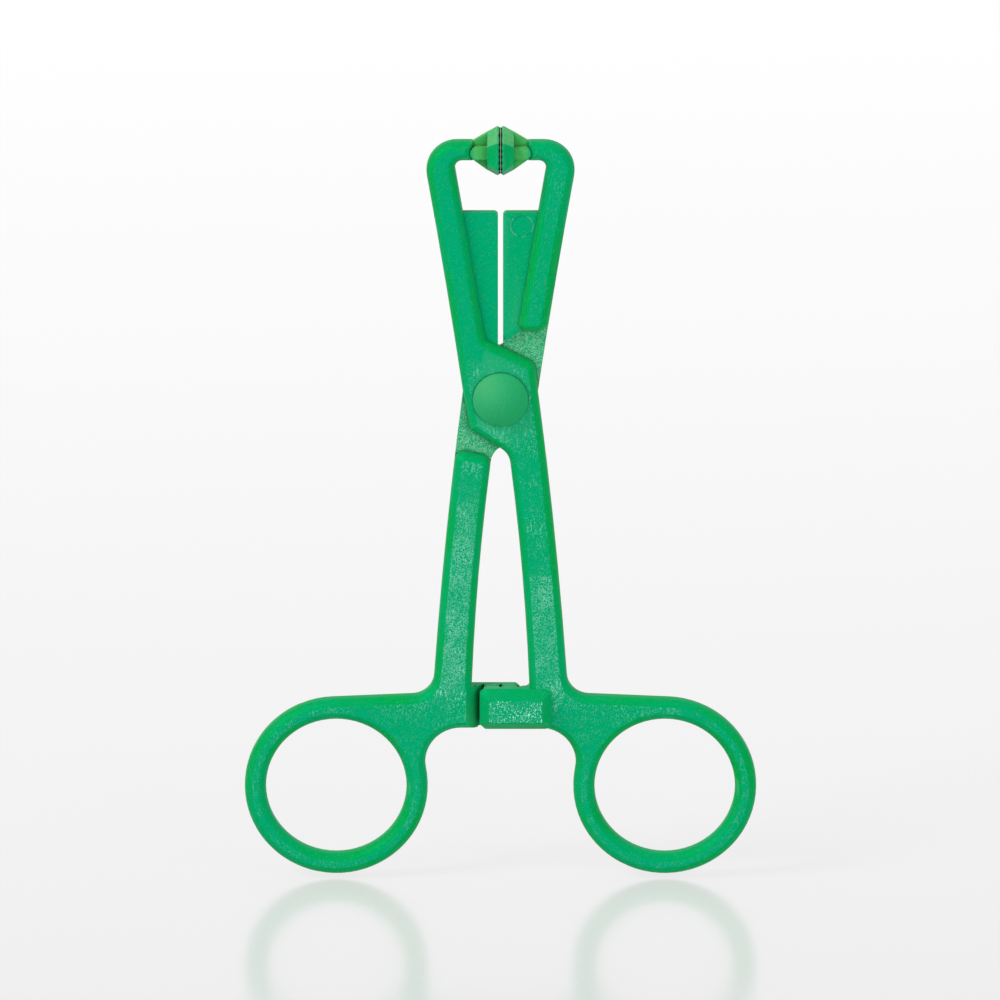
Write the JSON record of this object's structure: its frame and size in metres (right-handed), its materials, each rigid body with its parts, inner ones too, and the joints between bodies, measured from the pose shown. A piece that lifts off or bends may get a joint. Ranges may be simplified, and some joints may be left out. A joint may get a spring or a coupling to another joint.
{
  "type": "ratcheted towel forceps",
  "caption": "Moulded plastic towel forceps with crossed arms, finger rings, a ratchet and serrated pads that grip drapes or tubing without piercing them.",
  "frame": {"origin": "in the mid-plane between the two arms, under the pivot and level with the bottom of the finger rings", "axes": "+Z from the finger rings to the jaws, +X across the rings towards the front arm's ring, +Y from the rivet's domed head to its snap cap"},
  "size_m": [0.0884, 0.0083, 0.1347],
  "materials": {
    "arm_plastic": "fine texture on the flat faces, smooth on the rounded edges",
    "rivet_plastic": "satin"
  },
  "bodies": {
    "front": {"front_arm": "arm_plastic", "pivot_rivet": "rivet_plastic", "rivet_cap": "rivet_plastic"},
    "back": {"back_arm": "arm_plastic"}
  },
  "joints": [
    {"name": "pivot", "type": "hinge", "parent": "front", "child": "back", "pos_m": [0, 0, 0.0861], "axis": [0, 1, 0], "range_deg": [0, 100]}
  ]
}
